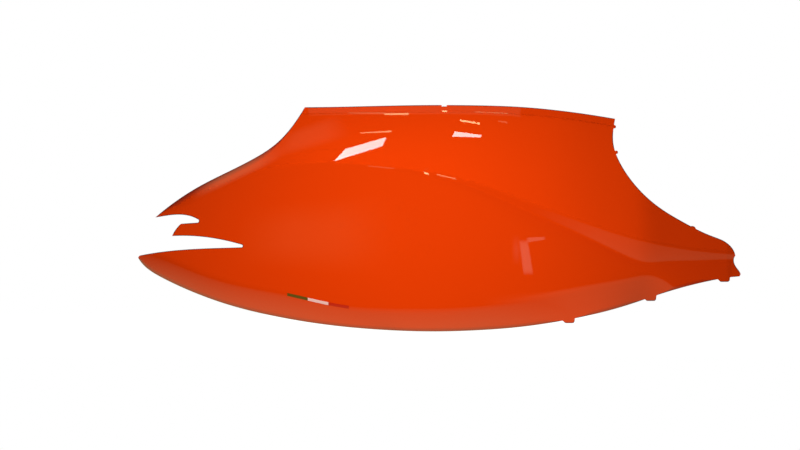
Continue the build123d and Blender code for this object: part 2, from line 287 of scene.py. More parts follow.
@dataclass(frozen=True)
class SkinForm:
    """The moulded skin as a height field: how far out along -Y it stands at each place (x, z).

    In plan it is a parabola. Up the skin, a lean from upright is given in each zone between the
    character lines, and how far out it stands is the integral of the lean's tangent.
    """

    wall: float = 2.6
    reach: float = 92.0
    widest_place: float = 10.0
    end_drop: float = 75.0
    end_distance: float = 390.0
    cove_top: Change = Change(6.0, 17.0)
    cove_foot: Change = Change(50.0, 37.0)
    facet: Change = Change(0.0, -30.0)
    rounding: Change = Change(20.0, 5.5, -190.0, 240.0)
    belly_top: float = 12.0
    belly_foot: float = -13.0
    under_top: float = -35.0
    under_foot: float = -42.0
    under_height: float = 27.0
    under_limit: float = 1.5
    lower_rounding: float = 12.0
    lip_height: float = 9.5
    lip_step: float = 1.4
    lip_run: float = 3.0
    lip_lean: float = -5.0
    nose_place: float = 376.0
    nose_step: float = 1.2
    nose_run: float = 9.0
    samples: int = 140
    probe: float = 0.4
    batch: int = 4000

    def lines(self, x: Array) -> tuple[Array, Array, Array, Array]:
        """Heights of the seat line, upper line, facet's foot and lower line at places along X."""
        upper = height_along(UPPER_LINE, x)
        facet = upper - height_along(FACET_HEIGHT, x)
        return height_along(SEAT_LINE, x), upper, facet, height_along(LOWER_LINE, x)

    def lean(self, x: Array, z: Array, lines: tuple[Array, Array, Array, Array]) -> Array:
        """Lean of the skin from upright, in degrees, positive where it faces upwards.

        Args:
            x: Places along X.
            z: Heights, one row for each sample up the skin.
            lines: Heights of the character lines at x.

        Returns:
            The lean, which changes evenly within a zone and smoothly across each line.
        """
        seat, upper, facet, lower = lines
        rounding = self.rounding.at(x)
        belly_share = np.clip((z - lower) / (facet - lower), 0, 1)
        belly = self.belly_foot + (self.belly_top - self.belly_foot) * belly_share
        under_share = np.clip((lower - z) / self.under_height, 0, self.under_limit)
        under = self.under_top + (self.under_foot - self.under_top) * under_share
        cove_share = np.clip((z - upper) / (seat - self.lip_height - upper), 0, 1)
        cove = self.cove_foot.at(x) + (self.cove_top.at(x) - self.cove_foot.at(x)) * cove_share
        above = self.facet.at(x) + (cove - self.facet.at(x)) * ease(z, upper, rounding)
        lean = belly + (above - belly) * ease(z, facet, rounding)
        lean = under + (lean - under) * ease(z, lower, self.lower_rounding)
        return lean + (self.lip_lean - lean) * ease(z, seat - self.lip_height, self.lip_run)

    def rise(self, x: Array, z: Array) -> Array:
        """Integral of the lean's tangent from the belly's widest height up to z, by trapezoids."""
        lines = self.lines(x)
        facet, lower = lines[2:]
        widest = lower + (facet - lower) * self.belly_foot / (self.belly_foot - self.belly_top)
        share = np.linspace(0, 1, self.samples)[:, None]
        slope = np.tan(np.radians(self.lean(x, widest + share * (z - widest), lines)))
        return (slope[1:] + slope[:-1]).sum(axis=0) * (z - widest) / (2 * (self.samples - 1))

    def out(self, x: Array, z: Array) -> Array:
        """How far out the skin stands: the parabola, less the rise, the lip's step and the nose's step."""
        count = max(1, len(x) // self.batch)
        parts = zip(np.array_split(x, count), np.array_split(z, count))
        rise = np.concatenate([self.rise(*part) for part in parts])
        plan = self.reach - self.end_drop * ((x - self.widest_place) / self.end_distance)**2
        lip = self.lip_step * ease(z, height_along(SEAT_LINE, x) - self.lip_height, self.lip_run)
        return plan - rise - lip - self.nose_step * ease(x, self.nose_place, self.nose_run)

    def layer(self, x: Array, z: Array, depth: Array | float = 0.0) -> tuple[Array, Array]:
        """Points at a depth in the wall, and the outer face's normals there.

        Args:
            x: Places along X.
            z: Heights.
            depth: Distance inwards of the outer face.

        Returns:
            Points and unit normals, one row for each place.
        """
        along = (self.out(x + self.probe, z) - self.out(x - self.probe, z)) / (2 * self.probe)
        up = (self.out(x, z + self.probe) - self.out(x, z - self.probe)) / (2 * self.probe)
        length = np.sqrt(1 + along**2 + up**2)
        points = np.stack([x, depth * length - self.out(x, z), z], axis=1)
        return points, np.stack([-along, -np.ones_like(x), -up], axis=1) / length[:, None]


@dataclass(frozen=True)
class EdgeFeatures:
    """Tabs, nibs, bump and notch on the skin's outline."""

    tab_places: tuple[float, ...] = (168.2, 274.0, 369.8)
    tab_width: float = 12.0
    tab_drop: float = 5.0
    tab_root: float = 6.0
    tab_ramp: float = 11.0
    tab_draft: float = 1.0
    tab_corner: float = 3.2
    notch_place: float = 5.2
    notch_width: float = 6.5
    notch_depth: float = 1.8
    nib_radius: float = 2.2
    nib_centres: tuple[tuple[float, float], ...] = ((226.4, -15.6), (228.8, -48.9))
    bump_radius: float = 5.0
    bump_centre: tuple[float, float] = (327.2, -149.6)
    step: float = 0.45

    def tab(self, place: float) -> Array:
        """Clockwise outline of one tab: a steep front side, a ramp behind and rounded corners."""
        edge = float(height_along(BOTTOM_EDGE[:-1], np.array([place]))[0])
        half = self.tab_width / 2
        corners = np.array([
            (place - half - self.tab_ramp, edge + self.tab_root),
            (place + half + self.tab_draft, edge + self.tab_root),
            (place + half, edge - self.tab_drop),
            (place - half, edge - self.tab_drop),
        ])
        return rounded(corners, [0, 0, self.tab_corner, self.tab_corner], self.step)

    def disc(self, centre: tuple[float, float], radius: float) -> Array:
        """Clockwise circle of a nib or of the bump."""
        angles = -np.arange(0, 2 * np.pi, self.step / radius)
        return np.array(centre) + radius * np.stack([np.cos(angles), np.sin(angles)], axis=1)

    def notch(self) -> Array:
        """Clockwise outline of the notch's rectangle, centred on the top edge."""
        top = float(height_along(TOP_EDGE, np.array([self.notch_place]))[0])
        half = self.notch_width / 2
        corners = np.array([
            (self.notch_place - half, top + self.notch_depth),
            (self.notch_place + half, top + self.notch_depth),
            (self.notch_place + half, top - self.notch_depth),
            (self.notch_place - half, top - self.notch_depth),
        ])
        return rounded(corners, [0, 0, 0, 0], self.step)


def panel_outline(features: EdgeFeatures, step: float) -> Array:
    """Closed outline of the trimmed skin, clockwise seen from the painted side.

    Args:
        features: Tabs, nibs and notch that are spliced into it.
        step: Distance between points along the long edges.

    Returns:
        Points (x, z) in order.
    """
    slot_step = step / 2
    pieces = [
        curve_points(TOP_EDGE, step),
        curve_points(FRONT_EDGE, step),
        curve_points(NOSE_EDGE, slot_step),
        np.linspace(NOSE_EDGE[-1], NOSE_CORNER, TIP_POINTS),
        np.linspace(NOSE_CORNER, BOTTOM_EDGE[0], TOE_POINTS),
        curve_points(BOTTOM_EDGE, step),
        curve_points(LOWER_SLOT_SILL, step),
        arc_points(LOWER_SLOT_SILL[-1], LOWER_SLOT_END, LOWER_SLOT_HEAD[0], slot_step),
        curve_points(LOWER_SLOT_HEAD, step),
        arc_points(LOWER_SLOT_HEAD[-1], MIDDLE_CLAW_END, UPPER_SLOT_SILL[0], slot_step),
        curve_points(UPPER_SLOT_SILL, step),
        arc_points(UPPER_SLOT_SILL[-1], UPPER_SLOT_END, UPPER_SLOT_HEAD[0], slot_step),
        curve_points(UPPER_SLOT_HEAD, step),
        curve_points(REAR_EDGE, step),
    ]
    loop = np.concatenate(pieces)
    loop = loop[np.linalg.norm(loop - np.roll(loop, 1, axis=0), axis=1) > SAME_PLACE]
    for place in features.tab_places:
        loop = spliced(loop, features.tab(place), adds=True)
    for centre in features.nib_centres:
        loop = spliced(loop, features.disc(centre, features.nib_radius), adds=True)
    loop = spliced(loop, features.disc(features.bump_centre, features.bump_radius), adds=True)
    return spliced(loop, features.notch(), adds=False)


def placed(name: str, data: bpy.types.ID) -> bpy.types.Object:
    """New object in the scene, unturned at its origin, with the mesh, lamp or camera that it shows."""
    made = bpy.data.objects.new(name, data)
    bpy.context.scene.collection.objects.link(made)
    return made


@dataclass
class Shell:
    """Triangles of a closed surface, with the normal and the share of paint at each vertex, whose fall over
    the rims is partly painted shade.
    """

    points: Array
    faces: Array
    normals: Array
    paint: Array

    def piece(self, name: str, material: bpy.types.Material) -> bpy.types.Object:
        """Blender object of the surface, in metres, with its place in its mesh."""
        mesh = bpy.data.meshes.new(name)
        mesh.from_pydata((self.points * MM).tolist(), [], self.faces.tolist())
        mesh.polygons.foreach_set("use_smooth", np.ones(len(self.faces), dtype=bool))
        mesh.normals_split_custom_set_from_vertices(self.normals.tolist())
        paint = mesh.attributes.new("paint", "FLOAT", "POINT")
        paint.data.foreach_set("value", self.paint.astype(np.float32))
        mesh.materials.append(material)
        return placed(name, mesh)


def joined(shells: list[Shell]) -> Shell:
    """One shell that holds several."""
    counts = np.cumsum([0] + [len(shell.points) for shell in shells])
    return Shell(
        np.concatenate([shell.points for shell in shells]),
        np.concatenate([shell.faces + start for shell, start in zip(shells, counts)]),
        np.concatenate([shell.normals for shell in shells]),
        np.concatenate([shell.paint for shell in shells]),
    )


def band_faces(rows: int, columns: int, closes: bool = False) -> Array:
    """Triangles between successive closed rows of a grid, outwards where rows run clockwise and inwards.

    Args:
        rows: Number of rows.
        columns: Points in each row, the last of which meets the first.
        closes: Whether the last row meets the first one too.

    Returns:
        Triangles as indices into the grid, row after row.
    """
    row = np.arange(rows if closes else rows - 1)[:, None]
    column = np.arange(columns)[None]
    near, far = column, (column + 1) % columns
    below, above = row * columns, (row + 1) % rows * columns
    a, b, c, d = below + near, below + far, above + far, above + near
    return np.concatenate([np.stack([a, b, c], axis=-1), np.stack([a, c, d], axis=-1)]).reshape(-1, 3)


def smooth_normals(points: Array, faces: Array) -> Array:
    """Vertex normals: the sum of the area vectors of the triangles that meet there, to unit length."""
    a, b, c = (points[faces[:, i]] for i in range(3))
    area = np.cross(b - a, c - a)
    total = np.zeros_like(points)
    for i in range(3):
        np.add.at(total, faces[:, i], area)
    return total / np.maximum(np.linalg.norm(total, axis=1, keepdims=True), TINY)


@dataclass(frozen=True)
class SkinGrid:
    """Parameter grid on the skin, whose rows crowd along the character lines.

    Across, the parameter grows with x. Up, it is the share of the height from below the lower line to
    above the seat line, in which each line's neighbourhood counts for more, by the line's crowding. The
    neighbourhood is as long as a share of the run over which the skin is rounded there.
    """

    form: SkinForm
    column_step: float = 3.2
    rows: int = 112
    below: float = 34.0
    above: float = 14.0
    nose_crowding: float = 2.5
    lip_crowding: float = 5.0
    upper_crowding: float = 3.5
    lower_crowding: float = 1.5
    lip_share: float = 0.7
    line_share: float = 0.5
    column_samples: int = 4000
    row_samples: int = 700

    def across(self, x: Array) -> Array:
        """Parameter along X, in columns."""
        run = self.form.nose_run / 2
        return (x + self.nose_crowding * run * np.tanh((x - self.form.nose_place) / run)) / self.column_step

    def up(self, x: Array, z: Array) -> Array:
        """Parameter up the skin, in rows."""
        seat, upper, facet, lower = self.form.lines(x)
        rounding = self.form.rounding.at(x)
        lines = [
            (seat - self.form.lip_height, self.lip_share * self.form.lip_run, self.lip_crowding),
            (upper, self.line_share * rounding, self.upper_crowding),
            (facet, self.line_share * rounding, self.upper_crowding),
            (lower, self.line_share * self.form.lower_rounding, self.lower_crowding),
        ]

        def measure(height: Array) -> Array:
            """Height in which the lines' neighbourhoods are stretched."""
            return height + sum(gain * run * np.tanh((height - place) / run) for place, run, gain in lines)

        foot, head = measure(lower - self.below), measure(seat + self.above)
        return self.rows * (measure(z) - foot) / (head - foot)

    def places(self, low: float, high: float) -> tuple[Array, Array]:
        """Places (x, z) of the grid's points between two places along X, and their parameters."""
        fine = np.linspace(low, high, self.column_samples)
        columns = np.arange(math.ceil(self.across(fine[:1])[0]), math.floor(self.across(fine[-1:])[0]) + 1)
        x = np.interp(columns, self.across(fine), fine)
        seat, _, _, lower = self.form.lines(x)
        share = np.linspace(0, 1, self.row_samples)[:, None]
        heights = lower - self.below + share * (seat + self.above - lower + self.below)
        rows = np.arange(1, self.rows)
        up = self.up(x, heights)
        z = np.stack([np.interp(rows, up[:, i], heights[:, i]) for i in range(len(x))], axis=1)
        places = np.stack([np.broadcast_to(x, z.shape), z], axis=-1).reshape(-1, 2)
        parameters = np.stack(np.broadcast_arrays(columns[None], rows[:, None]), axis=-1).reshape(-1, 2)
        return places, parameters.astype(float)


@dataclass(frozen=True)
class SoftRim:
    """Rim that is turned over a longer way, and on which the paint is thinned as painted shade.

    Its reach is how far it runs in along the face, in millimetres, and its fade the share of paint
    that is taken away at the edge itself, so that dark bare plastic shows there as painted shade. Its
    threshold and gain say which way the edge has to face.
    """

    reach: float
    fade: float
    threshold: float
    gain: float = 2.0

    def facing(self, pointing: Array) -> Array:
        """Share of such a rim, where the inward direction points away from the rim's side by so much."""
        return np.clip(self.gain * pointing - self.threshold, 0, 1)


@dataclass
class TrimmedSkin:
    """The moulding's skin: an outer and an inner face, joined by a rounded rim along its outline."""

    form: SkinForm
    features: EdgeFeatures
    edge_step: float = 1.2
    rim_radius: float = 1.25
    rim_steps: int = 5
    # Rear and bottom rims, whose thinned paint is painted shade along those edges
    rear_rim: SoftRim = SoftRim(7.0, 0.72, 0.2)
    foot_rim: SoftRim = SoftRim(5.0, 0.45, 0.6)
    claw_tip: tuple[float, float] = (-352.0, -130.0)
    claw_run: tuple[float, float] = (20.0, 8.0)
    full_place: float = -215.0
    full_run: float = 50.0
    sill_height: float = -180.0
    sill_run: float = 10.0
    tab_clearance: float = 24.0
    tab_run: float = 16.0
    corner_run: float = 5.0
    sharp_turn: float = 25.0
    grid_gap: float = 0.55
    merging: float = 1e-7
    paint_wrap: float = 4.0
    overspray: float = 9.0
    overspray_share: float = 0.15

    def inward(self, loop: Array) -> tuple[Array, Array]:
        """Inward directions along the outline, and the share of the rim's radius that each place takes.

        The share falls to nothing at sharp corners, where the rims of two edges meet.
        """
        tangent = unit(np.roll(loop, -1, axis=0) - np.roll(loop, 1, axis=0))
        side = np.roll(loop, -1, axis=0) - loop
        heading = np.degrees(np.arctan2(side[:, 1], side[:, 0]))
        turn = np.abs((heading - np.roll(heading, 1) + 180) % 360 - 180)
        length = np.linalg.norm(side, axis=1)
        along = np.concatenate([[0], np.cumsum(length)[:-1]])
        sharp = along[turn > self.sharp_turn]
        apart = np.abs(along[:, None] - sharp[None])
        nearest = np.minimum(apart, length.sum() - apart).min(axis=1)
        share = ease(nearest, self.corner_run / 2, self.corner_run)
        return np.stack([tangent[:, 1], -tangent[:, 0]], axis=1), share

    def softness(self, loop: Array, inward: Array) -> tuple[Array, Array]:
        """How far each place of the outline belongs to the rear edge's rim, and to the bottom edge's.

        Args:
            loop: Closed clockwise outline.
            inward: Inward directions along it.

        Returns:
            Two shares for each place. The rear edge's is gone at the claw's tip and where the skin
            widens to its full height, and the bottom edge's is gone at the tabs.
        """
        x, z = loop.T
        rear = self.rear_rim.facing(-inward[:, 1]) * ease(z, self.claw_tip[1], self.claw_run[1])
        rear = rear * ease(x, self.claw_tip[0], self.claw_run[0]) * ease(-x, -self.full_place, self.full_run)
        foot = self.foot_rim.facing(inward[:, 1]) * ease(-z, -self.sill_height, self.sill_run)
        for place in self.features.tab_places:
            foot = foot * ease(np.abs(x - place), self.tab_clearance, self.tab_run)
        return rear, foot

    def triangulated(self, rim: Array) -> tuple[Array, Array]:
        """Points of the skin's grid inside the rim's inner loop, and triangles over both.

        The triangles are worked out on the grid's parameters, so that they run along the lines.

        Args:
            rim: Closed clockwise loop (x, z).

        Returns:
            Grid points inside the loop, and anticlockwise triangles over the loop's points and then these.
        """
        grid = SkinGrid(self.form)
        edge = np.stack([grid.across(rim[:, 0]), grid.up(rim[:, 0], rim[:, 1])], axis=1)
        places, parameters = grid.places(rim[:, 0].min(), rim[:, 0].max())
        within = inside(parameters, edge)
        within[within] = clearance(parameters[within], edge) > self.grid_gap
        corners = np.concatenate([edge, parameters[within]])
        border = list(range(len(edge)))[::-1]
        vertices = [Vector(corner) for corner in corners]
        _, _, made, sources, _, _ = delaunay_2d_cdt(vertices, [], [border], WITHIN_BORDER, self.merging, True)
        triangles = np.array([source[0] for source in sources])[np.array(made)]
        return places[within], triangles[inside(corners[triangles].mean(axis=1), edge)]

    def shell(self) -> Shell:
        """The whole closed skin."""
        loop = panel_outline(self.features, self.edge_step)
        count = len(loop)
        inward, share = self.inward(loop)
        rear, foot = self.softness(loop, inward)
        reach = self.rim_radius + (self.rear_rim.reach - self.rim_radius) * rear
        reach = reach + (self.foot_rim.reach - self.rim_radius) * foot
        angle = np.linspace(0, np.pi / 2, self.rim_steps + 1)
        depth = self.rim_radius * (1 - np.cos(angle))
        depths = np.concatenate([depth, self.form.wall - depth[::-1]])
        angles = np.concatenate([angle, np.pi - angle[::-1]])
        reaches = np.where(angles[:, None] < np.pi / 2, reach, self.rim_radius)
        rows = len(angles)

        insets = reaches * (1 - np.sin(angles[:, None])) * share
        places = loop[None] + inward[None] * insets[..., None]
        flat = places.reshape(-1, 2)
        rim, face_normal = self.form.layer(flat[:, 0], flat[:, 1], np.repeat(depths, count))
        edgewise = np.tile(np.stack([-inward[:, 0], np.zeros(count), -inward[:, 1]], axis=1), (rows, 1))
        turned = np.repeat(angles, count)[:, None]
        flatness = (reaches / self.rim_radius).reshape(-1, 1)
        rim_normal = unit(face_normal * np.cos(turned) * flatness + edgewise * np.sin(turned))

        inner, triangles = self.triangulated(places[0])
        outer_points, outer_normals = self.form.layer(inner[:, 0], inner[:, 1])
        lengths = -1 / outer_normals[:, 1]
        inner_points = outer_points + np.array([0, self.form.wall, 0]) * lengths[:, None]

        size = len(rim)
        outer_faces = np.where(triangles < count, triangles, triangles - count + size)
        last_row = (rows - 1) * count
        inner_faces = np.where(triangles < count, triangles + last_row, triangles - count + size + len(inner))
        # Paint share over the rim: it falls to dark bare plastic where the rim turns over, partly the
        # moulding's unpainted edge and partly painted shade that darkens the outline
        paint_and_shade = np.clip(self.paint_wrap * np.cos(angles[:, None]) - (self.paint_wrap - 1), 0, 1)
        paint_and_shade = paint_and_shade * (1 - rear - foot)
        # Painted shade: the rear and bottom rims lose paint towards the edge, so that dark bare plastic
        # darkens them
        shade_thinned = 1 - np.sin(angles[:, None]) * (self.rear_rim.fade * rear + self.foot_rim.fade * foot)
        paint_and_shade = paint_and_shade + shade_thinned * (rear + foot) * (angles[:, None] <= np.pi / 2)
        inside_paint = self.overspray_share * np.exp(-clearance(inner, loop) / self.overspray)
        return Shell(
            np.concatenate([rim, outer_points, inner_points]),
            np.concatenate([band_faces(rows, count), outer_faces, inner_faces[:, ::-1]]),
            np.concatenate([rim_normal, outer_normals, -outer_normals]),
            np.concatenate([paint_and_shade.ravel(), np.ones(len(inner)), inside_paint]),
        )


@dataclass
class SeatEars:
    """The two ears behind the top edge, through which the panel is screwed to the seat rail."""

    form: SkinForm
    pitch: float = 160.0
    width: float = 26.0
    thickness: float = 3.0
    reach: float = 13.0
    hole_diameter: float = 6.6
    corner: float = 6.0
    gusset_thickness: float = 2.2
    gusset_height: float = 16.0
    gusset_centre: tuple[float, float] = (4.0, 2.0)
    gusset_root: float = 10.0
    pinhole: float = 0.1
    edge_radius: float = 0.4
    edge_steps: int = 3
    step: float = 1.5
    root: float = 30.0

    def slab(self, path: Array, centre: Array, hole: float, thickness: float) -> tuple[Array, Array]:
        """Flat plate with rounded edges, between its outline and a hole, or a centre where there is none.

        Args:
            path: Clockwise outline in the plate's plane.
            centre: Centre of the hole, which all of the outline can be seen from.
            hole: Radius of the hole, or 0.
            thickness: Thickness of the plate.

        Returns:
            Points (p, q, height), and triangles.
        """
        away = path - centre
        distance = np.linalg.norm(away, axis=1, keepdims=True)
        bore = centre + away / distance * max(hole, self.pinhole)
        angle = np.linspace(0, np.pi / 2, self.edge_steps + 1)
        inset = self.edge_radius * (1 - np.sin(angle))
        level = thickness / 2 - self.edge_radius * (1 - np.cos(angle))
        rows = [(bore, thickness / 2)]
        for shrink, height in zip([*inset, *inset[::-1]], [*level, *-level[::-1]]):
            rows.append((path - away / distance * shrink, height))
        rows.append((bore, -thickness / 2))
        points = np.concatenate([np.column_stack([row, np.full(len(row), height)]) for row, height in rows])
        return points, band_faces(len(rows), len(path), closes=True)

    def rooted(self, points: Array, faces: Array) -> Shell:
        """Shell of one plate, whose far end is cut to the middle of the skin's wall."""
        wall, _ = self.form.layer(points[:, 0], points[:, 2], self.form.wall / 2)
        points = np.column_stack([points[:, 0], np.maximum(points[:, 1], wall[:, 1]), points[:, 2]])
        return Shell(points, faces, smooth_normals(points, faces), np.zeros(len(points)))

    def ear(self, place: float) -> Shell:
        """One ear: its plate with the screw hole, and the two gussets under it."""
        skin = -float(self.form.out(np.array([place]), np.array([0.0]))[0])
        half = self.width / 2
        corners = np.array([(place - half, self.reach), (place + half, self.reach),
                            (place + half, skin - self.root), (place - half, skin - self.root)])
        path = rounded(corners, [self.corner, self.corner, 0, 0], self.step)
        flat, faces = self.slab(path, np.array([place, 0.0]), self.hole_diameter / 2, self.thickness)
        plate = np.column_stack([flat[:, 0], flat[:, 1], flat[:, 2] - self.thickness / 2])
        shells = [self.rooted(plate, faces)]

        top, foot, far = -self.thickness / 2, -self.thickness - self.gusset_height, skin - self.gusset_root
        rib = np.array([(far, top), (-self.hole_diameter, top), (-self.hole_diameter, -self.thickness),
                        (skin, foot), (far, foot)])
        rib = rounded(rib, [0] * len(rib), self.step)
        centre = np.array([skin + self.gusset_centre[0], -self.thickness - self.gusset_centre[1]])
        for edge in (-1, 1):
            flat, faces = self.slab(rib, centre, 0.0, self.gusset_thickness)
            x = place + edge * (self.width - self.gusset_thickness) / 2
            plate = np.column_stack([flat[:, 2] + x, flat[:, 0], flat[:, 1]])
            shells.append(self.rooted(plate, faces[:, ::-1]))
        return joined(shells)

    def shell(self) -> Shell:
        """Both ears."""
        return joined([self.ear(side * self.pitch / 2) for side in (-1, 1)])


class Signal:
    """Output of a node, with arithmetic written as Python expressions."""

    def __init__(self, sheet: "NodeSheet", socket: bpy.types.NodeSocket) -> None:
        """Wraps one output socket of a node on the sheet."""
        self.sheet = sheet
        self.socket = socket

    def maths(self, operation: str, *values: "Signal | float") -> "Signal":
        """Math node on the values."""
        return self.sheet.add("ShaderNodeMath", dict(enumerate(values)), operation=operation)

    def __add__(self, other: "Signal | float") -> "Signal":
        """Sum."""
        return self.maths("ADD", self, other)

    def __sub__(self, other: "Signal | float") -> "Signal":
        """Difference."""
        return self.maths("SUBTRACT", self, other)

    def __rsub__(self, other: float) -> "Signal":
        """Difference from a number."""
        return self.maths("SUBTRACT", other, self)

    def __mul__(self, other: "Signal | float") -> "Signal":
        """Product."""
        return self.maths("MULTIPLY", self, other)

    __radd__ = __add__

    def clipped(self) -> "Signal":
        """Value held between 0 and 1."""
        return self.maths("MINIMUM", self.maths("MAXIMUM", self, 0.0), 1.0)

    def falling(self, end: float, run: float) -> "Signal":
        """Value that is 1 well before the end, and falls evenly over the run to 0 at the end."""
        return ((end - self) * (1 / run)).clipped()


class NodeSheet:
    """Node tree that is being written."""

    def __init__(self, owner: bpy.types.Material | bpy.types.World | bpy.types.Light) -> None:
        """Clears the owner's node tree."""
        owner.use_nodes = True
        self.tree = owner.node_tree
        self.tree.nodes.clear()

    def add(self, kind: str, inputs: dict[Any, Any] | None = None, output: str | int = 0,
            **settings: Any) -> Signal | None:
        """Adds any node.

        Args:
            kind: The node's type.
            inputs: Value or signal of each socket that is set, by its name or place.
            output: Output that comes back.
            **settings: Settings of the node, which are set first.

        Returns:
            The node's output, or None where it has none.
        """
        node = self.tree.nodes.new(kind)
        for name, value in settings.items():
            setattr(node, name, value)
        for key, value in (inputs or {}).items():
            if isinstance(value, Signal):
                self.tree.links.new(value.socket, node.inputs[key])
            else:
                node.inputs[key].default_value = value
        return Signal(self, node.outputs[output]) if len(node.outputs) else None

    def blend(self, share: Signal | float, first: Any, second: Any) -> Signal:
        """Colour that goes from the first to the second as the share goes from 0 to 1."""
        ends = [value if isinstance(value, Signal) else (*value, 1.0) for value in (first, second)]
        inputs = {0: share, **dict(zip(COLOUR_SOCKETS, ends))}
        return self.add("ShaderNodeMix", inputs, output=2, data_type="RGBA")

    def noise(self, scale: float, detail: float = 2.0) -> Signal:
        """Noise over the piece, in cells for each metre."""
        place = self.add("ShaderNodeTexCoord", output="Object")
        return self.add("ShaderNodeTexNoise", {"Vector": place, "Scale": scale, "Detail": detail})


@dataclass(frozen=True)
class SprayedPaint:
    """Gloss paint on the outside of the moulding, with its bare plastic inside.

    The piece's paint attribute is 1 where paint covers the plastic, and falls off over the rim and as
    overspray behind it. Its fall over the rim shows dark bare plastic, partly the moulding's unpainted
    edge and partly painted shade that darkens the outline.
    """

    name: str
    colour: Colour
    plastic: Colour = (0.014, 0.014, 0.015)
    plastic_roughness: float = 0.42
    paint_roughness: float = 0.38
    mottle_scale: float = 6.0
    mottle: float = 0.02
    peel_scale: float = 260.0
    peel_height: float = 0.000012
    grain_scale: float = 2600.0
    grain_height: float = 0.00002
    mist_scale: float = 900.0
    mist: float = 0.35
    wear_scale: float = 70.0
    wear: float = 1.6
    coat_gain: float = 3.0
    coat_roughness: float = 0.02
    coat_index: float = 1.5

    def material(self) -> bpy.types.Material:
        """The material's nodes."""
        material = bpy.data.materials.new(self.name)
        sheet = NodeSheet(material)
        paint = sheet.add("ShaderNodeAttribute", output="Fac", attribute_name="paint")
        mist = sheet.noise(self.mist_scale, detail=3.0)
        cover = (paint + (mist - 0.5) * self.mist * (1.0 - paint)).clipped()
        drift = sheet.noise(self.mottle_scale)
        dark = tuple(channel * (1 - self.mottle) for channel in self.colour)
        light = tuple(channel * (1 + self.mottle) for channel in self.colour)
        painted = sheet.blend(drift, dark, light)
        worn = sheet.noise(self.wear_scale, detail=4.0)
        bare = sheet.blend(worn, self.plastic, tuple(self.wear * channel for channel in self.plastic))
        height = sheet.noise(self.peel_scale, detail=1.0) * self.peel_height * paint
        height = height + sheet.noise(self.grain_scale) * self.grain_height * (1.0 - paint)
        bump = {"Height": height, "Distance": 1.0, "Strength": 1.0}
        surface = sheet.add("ShaderNodeBsdfPrincipled", {
            "Base Color": sheet.blend(cover, bare, painted),
            "Roughness": cover * (self.paint_roughness - self.plastic_roughness) + self.plastic_roughness,
            "Specular IOR Level": 0.0,
            "Coat Weight": (cover * self.coat_gain).clipped(),
            "Coat Roughness": self.coat_roughness,
            "Coat IOR": self.coat_index,
            "Normal": sheet.add("ShaderNodeBump", bump, output="Normal"),
        })
        sheet.add("ShaderNodeOutputMaterial", {"Surface": surface})
        return material


@dataclass(frozen=True)
class PrintedFoil:
    """Gloss foil printed in one colour, with the fine dots of its print."""

    name: str
    colour: Colour
    dot_scale: float = 2200.0
    dot_spread: float = 0.08
    smear_scale: float = 140.0
    smear: float = 0.08
    roughness: float = 0.2
    gloss: float = 0.3
    coat: float = 0.1
    coat_roughness: float = 0.05

    def material(self) -> bpy.types.Material:
        """The material's nodes."""
        material = bpy.data.materials.new(self.name)
        sheet = NodeSheet(material)
        dots = sheet.noise(self.dot_scale, detail=1.0)
        dark = tuple(channel * (1 - self.dot_spread) for channel in self.colour)
        light = tuple(min(1.0, channel * (1 + self.dot_spread)) for channel in self.colour)
        surface = sheet.add("ShaderNodeBsdfPrincipled", {
            "Base Color": sheet.blend(dots, dark, light),
            "Roughness": sheet.noise(self.smear_scale) * self.smear + self.roughness,
            "Specular IOR Level": self.gloss,
            "Coat Weight": self.coat,
            "Coat Roughness": self.coat_roughness,
        })
        sheet.add("ShaderNodeOutputMaterial", {"Surface": surface})
        return material


ORANGE: Colour = (0.83, 0.048, 0.001)


class Field(Enum):
    """Colour fields of the foil strip, by node, with their colours."""

    strip_green = (0.14, 0.085, 0.006)
    strip_white = (0.95, 0.55, 0.48)
    strip_red = (0.6, 0.018, 0.001)


@dataclass(frozen=True)
class StudioCamera:
    """Long lens, square on to the painted side. Only its far clipping distance is in metres."""

    centre: tuple[float, float] = (-52.0, -143.3)
    plane: float = -20.0
    distance: float = 16000.0
    span: float = 1038.6
    sensor: float = 36.0
    far_clip: float = 100.0

    @property
    def place(self) -> Vector:
        """The camera's place, in metres."""
        return Vector((self.centre[0], self.plane - self.distance, self.centre[1])) * MM

    def set_up(self) -> None:
        """Makes the scene's camera."""
        data = bpy.data.cameras.new("camera")
        data.sensor_width = self.sensor
        data.lens = self.sensor * self.distance / self.span
        data.clip_end = self.far_clip
        camera = placed("camera", data)
        camera.location = self.place
        camera.rotation_euler = (math.pi / 2, 0.0, 0.0)
        bpy.context.scene.camera = camera


@dataclass(frozen=True)
class SoftLamp:
    """Square lamp that lights the panel, and that its paint doesn't mirror.

    It stands at a place and faces a target, both in metres, as its side is.
    """

    name: str
    place: tuple[float, float, float]
    target: tuple[float, float, float]
    side: float
    radiance: float
    watts: float = 4.0

    def set_up(self) -> None:
        """Makes the lamp, whose power grows by its watts with each unit of area and radiance."""
        data = bpy.data.lights.new(self.name, "AREA")
        data.size = self.side
        data.energy = self.watts * self.side * self.side * self.radiance
        lamp = placed(self.name, data)
        back = (Vector(self.place) - Vector(self.target)).normalized()
        across = Vector((0.0, 0.0, 1.0)).cross(back).normalized()
        turn = Matrix((across, back.cross(across), back)).transposed()
        lamp.matrix_world = Matrix.Translation(self.place) @ turn.to_4x4()
        lamp.visible_camera = False
        lamp.visible_glossy = False


BODY_MIDDLE = (-0.04, -0.06, -0.14)  # middle of the painted face, in metres

